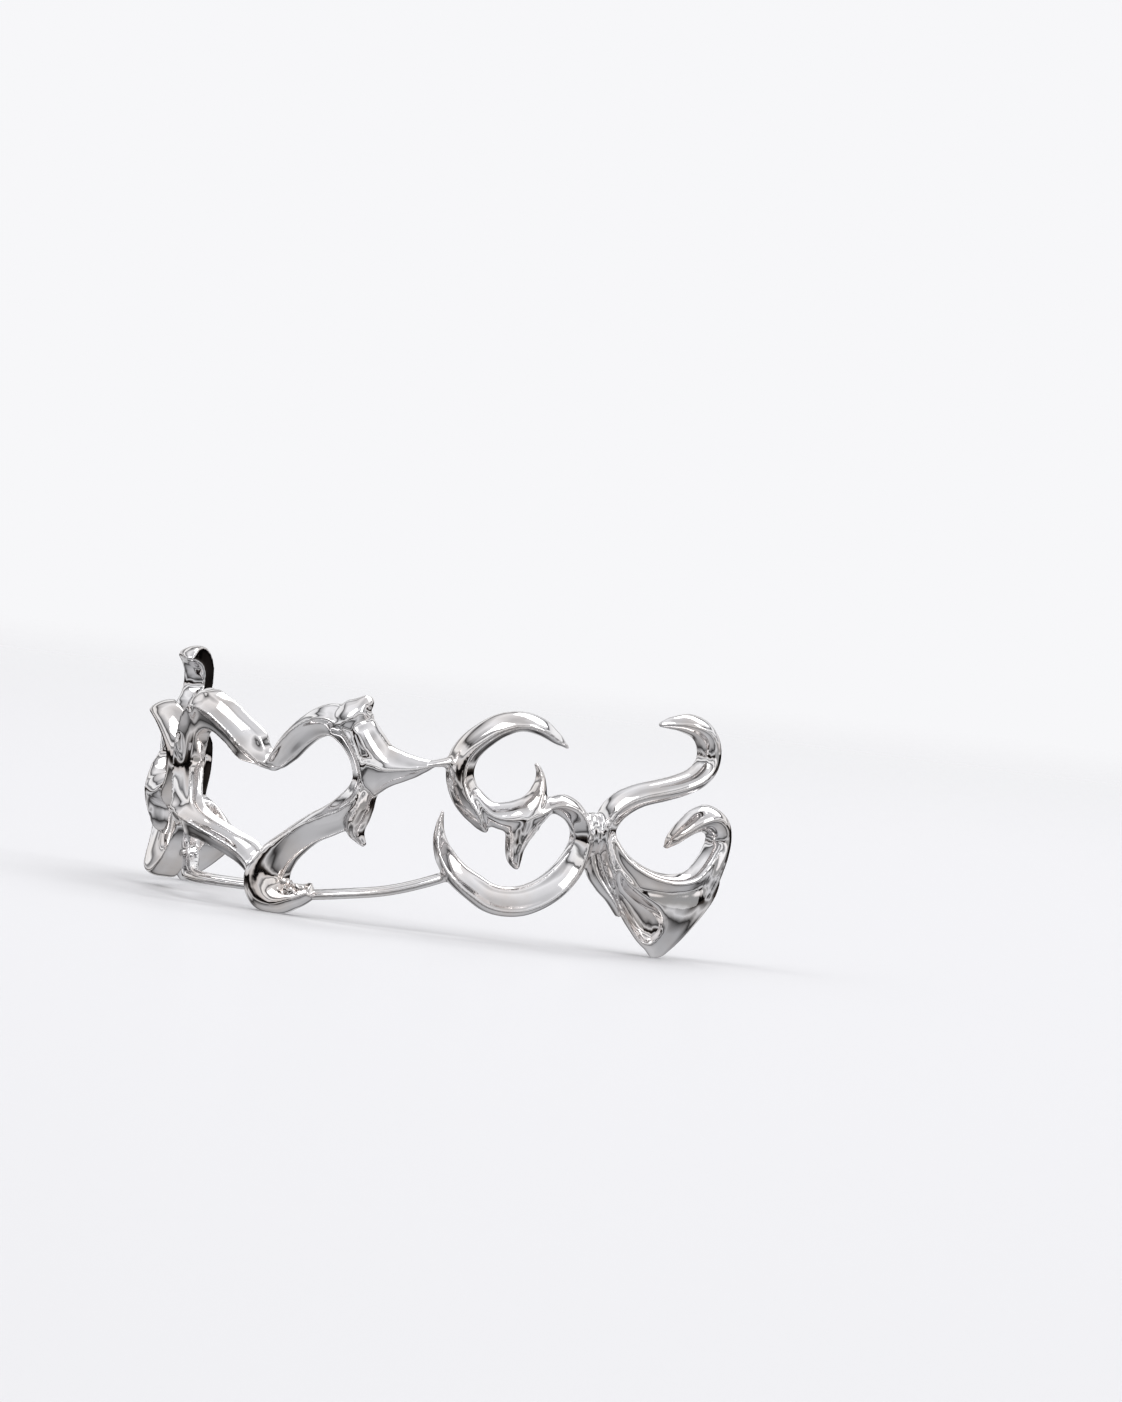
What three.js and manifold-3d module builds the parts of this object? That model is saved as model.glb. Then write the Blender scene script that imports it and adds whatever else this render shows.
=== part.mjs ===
// Openwork front grill for the six upper front teeth, cast in silver and soldered into one piece.
// A spiked heart spans the two central teeth, a scroll sits on each lateral tooth, and each canine
// has an S hook, a curl and a hollow fang that takes the tip of the tooth. Units are millimetres.
// While it is worn, X runs to the viewer's right, Y into the mouth and Z up to the gum, and zero is
// the front midline at the biting edge. The finished piece leans forward on its heart and two fangs.
import * as THREE from 'three';
import { mergeVertices } from 'three/addons/utils/BufferGeometryUtils.js';
import Module from 'manifold-3d';

const wasm = await Module();
wasm.setup();

// The teeth that the piece follows
const centralWidth = 8.9;
const lateralWidth = 7.5;
const canineWidth = 7.5;
const crownHeight = 10;
const archHalfWidthRight = 19.5;
const archHalfWidthLeft = 18.4; // the left side of the arch turns back a little sooner
const archHalfDepth = 29;
const frontLean = 0.2; // how far a crown leans back for each millimetre of height, at the midline
const sideLean = 0.05; // the same at the far side of the canine
const toothBulge = 0.6; // how far the middle of a tooth stands in front of its sides
const leftScrollHeight = 8.9; // the left lateral tooth is shorter than the others
const leftScrollDrop = 0.8; // and sits lower
const leftTuck = 1.0; // and its biting edge is tucked in this far
const leftCanineTuck = 0.9; // the middle of the left canine stands this far behind the arch

// The bands, across and out from the teeth
const heartBand = 1.5;
const heartRise = 1.45;
const scrollBand = 1.3;
const scrollRise = 1.3;
const hookBand = 1.2;
const hookRise = 1.3;
const thinnest = 0.22; // a band's point ends blunt at this width

// The fangs, the rails under the central teeth and the solder
const fangDrop = 2.65; // how far a fang's tip reaches below the biting edge
const fangDepth = 3.6; // front to back at the top of its cup
const fangCupTop = 1.3; // how far the fang's face climbs above the biting edge
const fangCupSlope = 1.55; // how much lower the back of its rim is than the face
const railHeight = 0.45;
const railDepth = 0.9;
const railSag = 0.5;
const flareWidth = 0.8; // solder between a prong and its scroll, at the scroll
const flareRise = 0.62;
const restFlat = 0.05; // how much of each foot is rubbed flat where the piece stands

// How finely the bands are cut into flats, and how near two points count as one
const stepLength = 0.55;
const joinTolerance = 0.001;

// Arc length along the front of the teeth, from the midline, as a table of an ellipse
const arcSamples = 400;
const arcReach = Math.PI * 0.49;
function arcTableOf(halfWidth) {
  const table = [{ angle: 0, length: 0 }];
  for (let i = 1; i <= arcSamples; i++) {
    const middle = ((i - 0.5) / arcSamples) * arcReach;
    const speed = Math.hypot(halfWidth * Math.cos(middle), archHalfDepth * Math.sin(middle));
    const length = table[i - 1].length + (speed * arcReach) / arcSamples;
    table.push({ angle: (i / arcSamples) * arcReach, length });
  }
  return table;
}
const arcs = {
  right: { halfWidth: archHalfWidthRight, table: arcTableOf(archHalfWidthRight) },
  left: { halfWidth: archHalfWidthLeft, table: arcTableOf(archHalfWidthLeft) },
};

function arcAngle(table, length) {
  let high = table.findIndex((row) => row.length >= length);
  if (high < 1) high = length <= 0 ? 1 : arcSamples;
  const a = table[high - 1];
  const b = table[high];
  return a.angle + ((b.angle - a.angle) * (length - a.length)) / (b.length - a.length);
}

// The teeth as stretches of that arc, from the midline outwards
const toothEdges = [0, centralWidth, centralWidth + lateralWidth,
  centralWidth + lateralWidth + canineWidth];
const lateralMiddle = (toothEdges[1] + toothEdges[2]) / 2;
const canineMiddle = (toothEdges[2] + toothEdges[3]) / 2;

function bulgeAt(along) {
  const nextEdge = toothEdges.findIndex((edge) => edge > along);
  const tooth = nextEdge < 0 ? toothEdges.length - 2 : nextEdge - 1;
  const share = (along - toothEdges[tooth]) / (toothEdges[tooth + 1] - toothEdges[tooth]);
  return (-toothBulge / 2) * Math.cos(2 * Math.PI * Math.min(share, 1));
}
function tuckAt(along, up) {
  const aside = (along + lateralMiddle) / lateralWidth;
  const scrollTuck = leftTuck * Math.max(0, 1 - aside * aside) * Math.max(0, 1 - up / crownHeight);
  const intoCanine = (-along - toothEdges[2]) / (canineMiddle - toothEdges[2]);
  return scrollTuck + leftCanineTuck * Math.min(1, Math.max(0, intoCanine));
}

// A place on the teeth: along the arch, up from the biting edge and out from the tooth's face
function toothPoint(along, up, out) {
  const side = along < 0 ? -1 : 1;
  const { halfWidth, table } = side > 0 ? arcs.right : arcs.left;
  const length = Math.abs(along);
  const angle = arcAngle(table, length);
  const tangent = new THREE.Vector2(halfWidth * Math.cos(angle), archHalfDepth * Math.sin(angle));
  tangent.normalize();
  const share = Math.min(length / toothEdges[3], 1);
  const lean = frontLean + (sideLean - frontLean) * share;
  const reach = out + bulgeAt(length) - lean * up - tuckAt(along, up);
  const x = halfWidth * Math.sin(angle) + tangent.y * reach;
  const y = archHalfDepth * (1 - Math.cos(angle)) - tangent.x * reach;
  return new THREE.Vector3(side * x, y, up);
}

// The shape across a band: a flat back, two walls and two flanks that meet in a crest. Across runs
// from -1 to 1 and out from 0 to 1; wall is where the flanks start and swell how far they bulge.
const backLeft = [-1, 0];
const backMiddle = [0, 0];
const backRight = [1, 0];
const shoulder = 0.92;
function bandSection(crest, wall, swell) {
  const flankHeight = (wall + 1) / 2 + swell;
  return [backLeft, backMiddle, backRight, [shoulder, wall], [(shoulder + crest) / 2, flankHeight],
    [crest, 1], [(crest - shoulder) / 2, flankHeight], [-shoulder, wall]];
}

// A closed solid through rings of points that all have the same count
function loftRings(rings) {
  const count = rings[0].length;
  const positions = rings.flat().flatMap((p) => [p.x, p.y, p.z]);
  const index = [];
  for (let r = 0; r + 1 < rings.length; r++) {
    for (let i = 0; i < count; i++) {
      const a = r * count + i;
      const b = r * count + ((i + 1) % count);
      index.push(a, b, b + count, a, b + count, a + count);
    }
  }
  const lastRing = (rings.length - 1) * count;
  for (let i = 1; i + 1 < count; i++) {
    index.push(0, i + 1, i, lastRing, lastRing + i, lastRing + i + 1);
  }
  const geometry = new THREE.BufferGeometry();
  geometry.setAttribute('position', new THREE.Float32BufferAttribute(positions, 3));
  geometry.setIndex(index);
  return solidFrom(geometry);
}

function solidFrom(geometry) {
  const plain = geometry.clone();
  plain.deleteAttribute('normal');
  plain.deleteAttribute('uv');
  const merged = mergeVertices(plain, 1e-5);
  const position = merged.attributes.position;
  const triangles = Uint32Array.from(merged.index.array);
  let volume = 0;
  const corners = [new THREE.Vector3(), new THREE.Vector3(), new THREE.Vector3()];
  for (let i = 0; i < triangles.length; i += 3) {
    corners.forEach((corner, k) => corner.fromBufferAttribute(position, triangles[i + k]));
    volume += corners[0].dot(corners[1].clone().cross(corners[2]));
  }
  if (volume < 0) {
    for (let i = 0; i < triangles.length; i += 3) {
      [triangles[i], triangles[i + 1]] = [triangles[i + 1], triangles[i]];
    }
  }
  return new wasm.Manifold(new wasm.Mesh({
    numProp: 3,
    vertProperties: Float32Array.from(position.array),
    triVerts: triangles,
    tolerance: joinTolerance,
  }));
}

// Rows of a band's table, smoothed by a curve through them and cut at even steps
function smoothRows(rows) {
  const path = new THREE.CatmullRomCurve3(
    rows.map((row) => new THREE.Vector3(row.along, row.up, 0)), false, 'centripetal');
  const sizes = new THREE.CatmullRomCurve3(
    rows.map((row) => new THREE.Vector3(row.wide, row.high, row.crest)), false, 'catmullrom', 0.3);
  const steps = Math.max(3, Math.round(path.getLength() / stepLength));
  const stations = [];
  for (let i = 0; i <= steps; i++) {
    const share = path.getUtoTmapping(i / steps);
    const place = path.getPoint(share);
    const size = sizes.getPoint(share);
    const heading = path.getTangent(share);
    stations.push({ along: place.x, up: place.y, wide: size.x, high: size.y, crest: size.z, heading });
  }
  return stations;
}

function band(rows, { seat, wall, swell }) {
  const rings = smoothRows(rows).map((station) => {
    const half = Math.max(station.wide, thinnest) / 2;
    const rise = Math.max(station.high, thinnest);
    return bandSection(station.crest, wall, swell).map(([across, out]) => toothPoint(
      station.along - station.heading.y * across * half,
      station.up + station.heading.x * across * half,
      seat + out * rise,
    ));
  });
  return loftRings(rings);
}

// Turns a table of shares into rows in millimetres. Across is a share of the tooth's width from
// its middle, up of the crown's height, wide and high of the band's own width and rise, and crest
// says how far the ridge lies to the left (1) or the right (-1) of the way along the band.
const columns = ['across', 'up', 'wide', 'high', 'crest'];
function readTable(table, { middle, width, bandWidth, bandRise }) {
  return table.map((values) => {
    const row = Object.fromEntries(columns.map((name, i) => [name, values[i]]));
    return {
      along: middle + row.across * width,
      up: row.up * crownHeight,
      wide: row.wide * bandWidth,
      high: row.high * bandRise,
      crest: row.crest,
    };
  });
}
function mirrorRows(rows) {
  return rows.map((row) => ({ ...row, along: -row.along, crest: -row.crest }));
}
function leftScrollRows(rows) {
  const share = leftScrollHeight / crownHeight;
  return mirrorRows(rows).map((row) => ({ ...row, up: row.up * share - leftScrollDrop }));
}

// Heart: the right half starts in the notch, goes round the right lobe and runs down to the point
const heartPlace = { middle: 0, width: centralWidth, bandWidth: heartBand, bandRise: heartRise };
const heartRight = readTable([
  [-0.07, 0.60, 0.45, 0.60, 0.2],
  [-0.02, 0.645, 0.75, 0.85, 0.3],
  [0.05, 0.705, 0.95, 1.00, 0.3],
  [0.14, 0.775, 0.97, 1.00, 0.4],
  [0.24, 0.83, 0.97, 1.00, 0.4],
  [0.34, 0.855, 1.00, 1.00, 0.3],
  [0.44, 0.835, 1.12, 1.05, 0.1],
  [0.525, 0.755, 1.00, 1.05, 0.0],
  [0.565, 0.67, 0.90, 1.05, 0.0],
  [0.575, 0.60, 0.88, 1.00, 0.0],
  [0.55, 0.525, 0.98, 1.00, 0.0],
  [0.485, 0.45, 1.10, 1.00, -0.2],
  [0.39, 0.395, 1.00, 1.00, -0.4],
  [0.28, 0.345, 0.95, 1.00, -0.45],
  [0.15, 0.26, 1.02, 1.00, -0.45],
  [0.06, 0.18, 1.26, 1.02, -0.45],
  [0.018, 0.10, 1.46, 1.05, -0.4],
  [0.045, 0.03, 1.42, 1.05, -0.3],
  [0.115, 0.005, 1.10, 1.00, -0.2],
  [0.215, 0.02, 0.75, 0.85, 0.0],
  [0.31, 0.055, 0.50, 0.60, 0.0],
], heartPlace);
const heartLeft = readTable([
  [-0.03, 0.60, 0.40, 0.60, 0.0],
  [-0.12, 0.635, 0.60, 0.85, -0.1],
  [-0.21, 0.685, 1.10, 1.00, -0.2],
  [-0.325, 0.75, 1.05, 1.00, -0.3],
  [-0.46, 0.805, 1.15, 1.00, -0.3],
  [-0.60, 0.81, 1.35, 1.05, -0.3],
  [-0.71, 0.735, 1.25, 1.08, -0.4],
  [-0.75, 0.62, 1.25, 1.08, -0.5],
  [-0.75, 0.52, 1.30, 1.05, -0.5],
  [-0.715, 0.435, 1.30, 1.02, -0.4],
  [-0.66, 0.35, 1.35, 1.00, -0.1],
  [-0.56, 0.30, 1.10, 1.00, 0.3],
  [-0.42, 0.27, 0.85, 0.95, 0.4],
  [-0.26, 0.225, 0.80, 0.90, 0.4],
  [-0.135, 0.18, 0.85, 0.85, 0.2],
  [-0.02, 0.09, 0.80, 0.75, 0.0],
], heartPlace);

// Spikes that grow out of the heart, each from its root to its point
const heartSpikes = [
  { name: 'right horn', rows: [[0.36, 0.83, 0.70, 0.70, 0.0], [0.43, 0.855, 1.10, 0.96, 0.0],
    [0.49, 0.885, 1.18, 0.98, 0.0], [0.53, 0.918, 0.92, 0.88, 0.0],
    [0.556, 0.944, 0.60, 0.70, 0.0], [0.588, 0.942, 0.26, 0.42, 0.0]] },
  { name: 'right fin', rows: [[0.49, 0.87, 0.60, 0.70, 0.0], [0.54, 0.825, 0.95, 0.94, 0.0],
    [0.585, 0.755, 1.10, 0.98, 0.0], [0.645, 0.70, 1.05, 0.94, 0.0],
    [0.72, 0.675, 0.70, 0.82, 0.0], [0.80, 0.665, 0.40, 0.60, 0.0]] },
  { name: 'right prong', rows: [[0.545, 0.665, 1.30, 0.60, 0.0],
    [0.585, 0.662, 2.05, 0.98, 0.0], [0.632, 0.657, 1.80, 0.98, 0.0],
    [0.689, 0.658, 1.37, 0.91, 0.0], [0.75, 0.657, 1.06, 0.82, 0.0],
    [0.82, 0.658, 0.76, 0.72, 0.0], [0.893, 0.665, 0.44, 0.56, 0.0],
    [0.938, 0.673, 0.24, 0.44, 0.0], [0.97, 0.68, 0.16, 0.36, 0.0]] },
  { name: 'right thorn', rows: [[0.575, 0.61, 0.40, 0.50, 0.0], [0.575, 0.55, 0.66, 0.78, 0.0],
    [0.560, 0.48, 0.80, 0.88, 0.0], [0.538, 0.41, 0.78, 0.92, 0.0],
    [0.538, 0.355, 0.56, 0.82, 0.0], [0.563, 0.315, 0.28, 0.60, 0.0],
    [0.587, 0.285, 0.13, 0.35, 0.0]] },
  { name: 'left horn', rows: [[-0.58, 0.80, 1.40, 0.98, 0.0], [-0.635, 0.85, 1.00, 0.88, 0.0],
    [-0.685, 0.89, 0.45, 0.55, 0.0]] },
  { name: 'left prong', rows: [[-0.75, 0.64, 1.70, 1.00, 0.0], [-0.82, 0.635, 1.15, 0.90, 0.0],
    [-0.89, 0.625, 0.60, 0.68, 0.0], [-0.965, 0.62, 0.25, 0.45, 0.0]] },
  { name: 'left thorn', rows: [[-0.68, 0.345, 1.40, 0.95, 0.0],
    [-0.745, 0.29, 0.95, 0.78, 0.0], [-0.81, 0.24, 0.40, 0.50, 0.0]] },
].map(({ name, rows }) => ({ name, rows: readTable(rows, heartPlace) }));

// Lateral scroll: a C hook, the web where it ends in two thorns, and a crescent that starts there
const scrollPlace = {
  middle: lateralMiddle, width: lateralWidth, bandWidth: scrollBand, bandRise: scrollRise,
};
const scrollHook = readTable([
  [0.315, 0.75, 0.10, 0.35, 0.0],
  [0.23, 0.80, 0.45, 0.65, 0.2],
  [0.115, 0.86, 0.65, 0.90, 0.3],
  [-0.01, 0.885, 0.72, 1.00, 0.3],
  [-0.135, 0.865, 0.85, 1.00, 0.3],
  [-0.245, 0.815, 0.92, 1.00, 0.3],
  [-0.335, 0.755, 1.00, 1.00, 0.3],
  [-0.385, 0.695, 1.08, 1.00, 0.3],
  [-0.40, 0.62, 1.08, 1.00, 0.25],
  [-0.365, 0.535, 1.10, 1.00, 0.15],
  [-0.305, 0.467, 1.00, 1.00, 0.1],
  [-0.262, 0.408, 0.62, 0.85, 0.0],
  [-0.228, 0.362, 0.20, 0.45, 0.0],
], scrollPlace);
const scrollWeb = readTable([
  [-0.31, 0.545, 0.55, 0.82, 0.0],
  [-0.21, 0.458, 0.84, 0.96, 0.0],
  [-0.10, 0.440, 1.08, 1.00, 0.0],
  [0.0, 0.447, 1.25, 1.04, 0.0],
  [0.08, 0.465, 1.05, 1.02, 0.0],
  [0.15, 0.485, 0.66, 0.94, 0.0],
], scrollPlace);
const scrollThornUp = readTable([
  [0.0, 0.43, 1.45, 1.00, 0.0],
  [0.06, 0.485, 1.10, 0.96, 0.0],
  [0.10, 0.555, 0.66, 0.84, 0.0],
  [0.115, 0.62, 0.38, 0.60, 0.0],
  [0.105, 0.66, 0.25, 0.45, 0.0],
  [0.082, 0.69, 0.14, 0.30, 0.0],
], scrollPlace);
const scrollThornDown = readTable([
  [0.0, 0.46, 1.60, 1.00, 0.0],
  [-0.02, 0.39, 1.22, 0.98, 0.0],
  [-0.04, 0.335, 0.84, 0.92, 0.0],
  [-0.056, 0.285, 0.66, 0.82, 0.0],
  [-0.056, 0.24, 0.54, 0.70, 0.0],
  [-0.04, 0.195, 0.20, 0.40, 0.0],
], scrollPlace);
const scrollCrescent = readTable([
  [0.04, 0.455, 0.60, 0.85, 0.0],
  [0.12, 0.478, 0.60, 0.88, 0.1],
  [0.19, 0.49, 0.62, 0.94, 0.2],
  [0.265, 0.485, 0.82, 1.00, 0.3],
  [0.335, 0.452, 0.86, 1.00, 0.3],
  [0.38, 0.395, 0.82, 1.00, 0.3],
  [0.39, 0.34, 0.80, 1.00, 0.3],
  [0.37, 0.28, 0.85, 1.00, 0.3],
  [0.31, 0.20, 1.00, 1.00, 0.35],
  [0.215, 0.13, 1.05, 1.00, 0.4],
  [0.09, 0.075, 1.05, 1.00, 0.4],
  [-0.05, 0.045, 1.08, 1.00, 0.4],
  [-0.195, 0.055, 1.08, 1.00, 0.4],
  [-0.305, 0.105, 1.02, 1.00, 0.4],
  [-0.41, 0.165, 0.92, 0.95, 0.4],
  [-0.48, 0.235, 0.80, 0.85, 0.4],
  [-0.52, 0.31, 0.56, 0.70, 0.3],
  [-0.525, 0.385, 0.32, 0.50, 0.1],
  [-0.505, 0.455, 0.10, 0.30, 0.0],
], scrollPlace);

// Canine: an S hook down the near side and a curl up the far side, both rooted in the fang, with a
// lip round its opening, a thin leaf towards the scroll and a seam of solder along the hook
const hookPlace = {
  middle: canineMiddle, width: canineWidth, bandWidth: hookBand, bandRise: hookRise,
};
const canineHook = readTable([
  [-0.085, 0.85, 0.20, 0.30, 0.0],
  [0.005, 0.857, 0.52, 0.66, -0.1],
  [0.12, 0.847, 0.82, 0.92, -0.15],
  [0.21, 0.813, 0.92, 1.00, -0.15],
  [0.262, 0.755, 0.94, 1.00, -0.15],
  [0.268, 0.69, 0.90, 1.00, -0.1],
  [0.235, 0.635, 0.88, 1.00, -0.05],
  [0.155, 0.59, 0.86, 1.00, 0.0],
  [0.04, 0.563, 0.86, 1.00, 0.0],
  [-0.09, 0.542, 0.88, 1.00, 0.0],
  [-0.225, 0.52, 0.90, 1.00, -0.1],
  [-0.325, 0.485, 0.95, 1.00, -0.2],
  [-0.40, 0.435, 0.95, 1.00, -0.35],
  [-0.445, 0.365, 0.84, 1.00, -0.45],
  [-0.43, 0.28, 0.88, 1.00, -0.55],
  [-0.385, 0.20, 1.15, 0.98, -0.6],
  [-0.32, 0.125, 1.45, 0.94, -0.5],
  [-0.25, 0.045, 1.50, 0.62, -0.2],
], hookPlace);
const canineCurl = readTable([
  [-0.06, 0.265, 0.12, 0.30, 0.0],
  [-0.01, 0.31, 0.52, 0.70, 0.0],
  [0.07, 0.355, 0.72, 0.90, 0.1],
  [0.165, 0.388, 0.95, 1.00, 0.1],
  [0.255, 0.388, 1.12, 1.05, 0.2],
  [0.32, 0.355, 1.12, 1.05, 0.2],
  [0.342, 0.30, 0.98, 1.00, 0.2],
  [0.32, 0.22, 0.98, 1.00, 0.1],
  [0.275, 0.14, 1.10, 0.92, 0.0],
  [0.22, 0.05, 1.05, 0.70, 0.0],
  [0.15, -0.03, 0.80, 0.40, 0.0],
], hookPlace);
const canineRim = readTable([
  [-0.435, 0.33, 0.60, 0.90, 0.4],
  [-0.375, 0.225, 0.90, 0.94, 0.5],
  [-0.26, 0.145, 0.98, 0.92, 0.5],
  [-0.12, 0.098, 0.94, 0.88, 0.5],
  [0.02, 0.085, 0.92, 0.86, 0.5],
  [0.13, 0.10, 0.92, 0.88, 0.5],
  [0.235, 0.155, 0.98, 0.92, 0.5],
  [0.305, 0.225, 0.90, 0.94, 0.5],
  [0.34, 0.30, 0.60, 0.90, 0.4],
], hookPlace);
const canineLeaf = readTable([
  [-0.545, 0.315, 0.45, 0.55, 0.0],
  [-0.545, 0.24, 0.55, 0.60, 0.0],
  [-0.525, 0.165, 0.62, 0.60, 0.0],
  [-0.475, 0.095, 0.52, 0.62, 0.0],
  [-0.42, 0.03, 0.32, 0.64, 0.0],
  [-0.365, -0.05, 0.18, 0.50, 0.0],
], hookPlace);
const canineSeam = readTable([
  [-0.525, 0.445, 0.30, 0.60, 0.0],
  [-0.528, 0.41, 0.48, 0.80, 0.0],
  [-0.53, 0.36, 0.48, 0.85, 0.0],
  [-0.533, 0.31, 0.45, 0.80, 0.0],
  [-0.54, 0.27, 0.35, 0.60, 0.0],
], hookPlace);

// Fang: rings from the rim of its cup down to the tip, and rings of the space inside the cup. The
// columns are height, slant, across, wide, front and back. Height is a share of the cup's climb
// above the biting edge, or below it of the fang's drop, and slant a share of the rim's slope.
// Across and wide are shares of the tooth, front and back of the cup's depth, out from its face.
const fangRings = [
  [1.00, 1.00, -0.015, 0.74, 0.125, -0.755],
  [0.81, 0.97, -0.012, 0.78, 0.21, -0.78],
  [0.42, 0.77, -0.018, 0.735, 0.24, -0.78],
  [0.00, 0.55, -0.031, 0.66, 0.24, -0.755],
  [-0.21, 0.32, -0.055, 0.56, 0.22, -0.71],
  [-0.43, 0.17, -0.073, 0.43, 0.17, -0.605],
  [-0.66, 0.06, -0.088, 0.295, 0.105, -0.46],
  [-0.85, 0.00, -0.094, 0.16, 0.035, -0.305],
  [-0.95, 0.00, -0.101, 0.095, -0.017, -0.205],
  [-1.00, 0.00, -0.106, 0.04, -0.07, -0.14],
];
const cupRings = [
  [1.31, 1.00, -0.015, 0.59, -0.055, -0.625],
  [0.42, 0.77, -0.018, 0.57, -0.07, -0.625],
  [-0.11, 0.45, -0.045, 0.43, -0.09, -0.59],
  [-0.40, 0.19, -0.072, 0.26, -0.145, -0.47],
];
const fangSides = 20;
const brow = 0.2; // the face's share of a ring's depth
const faceCorner = 0.7; // below 1 the face is boxy, at 1 it is half an ellipse
const backCorner = 0.95;
const backNarrowing = 0.5; // how much narrower the cup's back is than its face
function fangHeight(share) {
  return share > 0 ? share * fangCupTop : share * fangDrop;
}
function fangRing([height, slant, across, wide, front, back], side) {
  const waist = front - brow * (front - back);
  const points = [];
  for (let i = 0; i < fangSides; i++) {
    const angle = (i / fangSides) * 2 * Math.PI;
    const corner = Math.sin(angle) > 0 ? faceCorner : backCorner;
    const push = (value) => Math.sign(value) * Math.abs(value) ** corner;
    const ahead = push(Math.sin(angle));
    const out = waist + ahead * (ahead > 0 ? front - waist : waist - back);
    const aside = (wide / 2) * push(Math.cos(angle)) * (1 + backNarrowing * Math.min(0, ahead));
    const drop = (slant * fangCupSlope * (front - out)) / (front - back);
    const along = canineMiddle + (across + aside) * canineWidth;
    points.push(toothPoint(side * along, fangHeight(height) - drop, out * fangDepth));
  }
  return points;
}
function ringsSolid(rings, side) {
  return loftRings(rings.map((ring) => fangRing(ring, side)));
}

// The notch in the fang's near wall: a wedge that is driven in from the midline side. Its corners
// are heights and places out from the tooth's face, in the same shares as the rings.
const notchEnds = [-0.55, -0.12];
const notchCorners = [[-0.7, -0.125], [1.7, -0.72], [1.7, 0.083]];
function fangNotch(side) {
  return loftRings(notchEnds.map((across) => notchCorners.map(([height, out]) => (
    toothPoint(side * (canineMiddle + across * canineWidth), fangHeight(height), out * fangDepth)))));
}

// The teardrop scoop in the fang's face: across, up and wide as shares of the tooth, and how far
// out its floor and its rim lie, as shares of the cup's depth
const scoopRows = [
  [-0.405, 0.172, 0.03, 0.25, 0.305],
  [-0.372, 0.105, 0.09, 0.155, 0.305],
  [-0.312, 0.045, 0.17, 0.045, 0.30],
  [-0.245, -0.02, 0.225, -0.014, 0.285],
  [-0.205, -0.085, 0.21, -0.045, 0.235],
  [-0.188, -0.14, 0.145, -0.04, 0.183],
  [-0.183, -0.182, 0.05, 0.006, 0.125],
];
const scoopSides = 12;
function fangScoop(side) {
  return loftRings(scoopRows.map(([across, up, wide, floor, rim]) => {
    const points = [];
    for (let i = 0; i < scoopSides; i++) {
      const angle = (i / scoopSides) * 2 * Math.PI;
      const along = canineMiddle + (across + (wide / 2) * Math.cos(angle)) * canineWidth;
      const depth = Math.sin(angle) < 0 ? (rim - floor) * fangDepth : hookRise;
      points.push(toothPoint(side * along, up * crownHeight, rim * fangDepth + depth * Math.sin(angle)));
    }
    return points;
  }));
}

// Rails and flares of solder run between bands, from one band's row to another's
const rightRailRow = 19; // the rows of the heart's right half that the rails start from
const leftRailRow = 17;
const railMeetsRow = 14; // the row of the crescent that a rail runs into
const railShares = [0, 0.3, 0.6, 0.85, 1];
const flareShares = [[-0.6, 0.38], [0, 0.45], [0.4, 0.56], [0.8, 0.78], [1.2, 1]]; // way and width
function between(start, end, share) {
  return {
    along: start.along * (1 - share) + end.along * share,
    up: start.up * (1 - share) + end.up * share,
  };
}
function railRows(side, crescent) {
  const start = heartRight[side > 0 ? rightRailRow : leftRailRow];
  return railShares.map((share) => {
    const { along, up } = between(start, crescent[railMeetsRow], share);
    const sag = railSag * Math.sin(Math.PI * share) * share;
    return { along, up: up - sag, wide: railHeight, high: railDepth, crest: 0 };
  });
}
function flareRows(from, to) {
  return flareShares.map(([share, width]) => (
    { ...between(from, to, share), wide: width * flareWidth, high: flareRise, crest: 0 }));
}

function joinAll(solids) {
  return solids.reduce((whole, solid) => whole.add(solid));
}
function nearestRow(rows, target) {
  const gap = (row) => Math.hypot(row.along - target.along, row.up - target.up);
  return rows.reduce((best, row) => (gap(row) < gap(best) ? row : best));
}

// How each band sits: how far its back stands out from the teeth in mm, where its flanks start and
// how much they bulge. Bands that cross are seated a hair apart, so that no two backs share a face.
const heartSeat = { seat: 0, wall: 0.5, swell: 0.02 };
const heartLeftSeat = { seat: 0.06, wall: 0.5, swell: 0.02 };
const spikeSeat = { seat: 0.1, step: 0.02, wall: 0.4, swell: 0.08 };
const hookSeat = { seat: 0, wall: 0.4, swell: 0.1 };
const webSeat = { seat: 0.025, wall: 0.4, swell: 0.1 };
const thornUpSeat = { seat: 0.08, wall: 0.35, swell: 0.08 };
const thornDownSeat = { seat: 0.12, wall: 0.35, swell: 0.08 };
const crescentSeat = { seat: 0.04, wall: 0.4, swell: 0.04 };
const canineHookSeat = { seat: 0, wall: 0.45, swell: 0.12 };
const curlSeat = { seat: 0.03, wall: 0.45, swell: 0.1 };
const rimSeat = { seat: -0.05, wall: 0.5, swell: 0.06 };
const leafSeat = { seat: 0.1, wall: 0.6, swell: 0.06 };
const seamSeat = { seat: 0.1, wall: 0.7, swell: 0.06 };
const flareSeat = { seat: 0.25, wall: 0.6, swell: 0.1 };
const railSeat = { seat: -railDepth / 2, wall: 0.8, swell: 0.05 };

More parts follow.
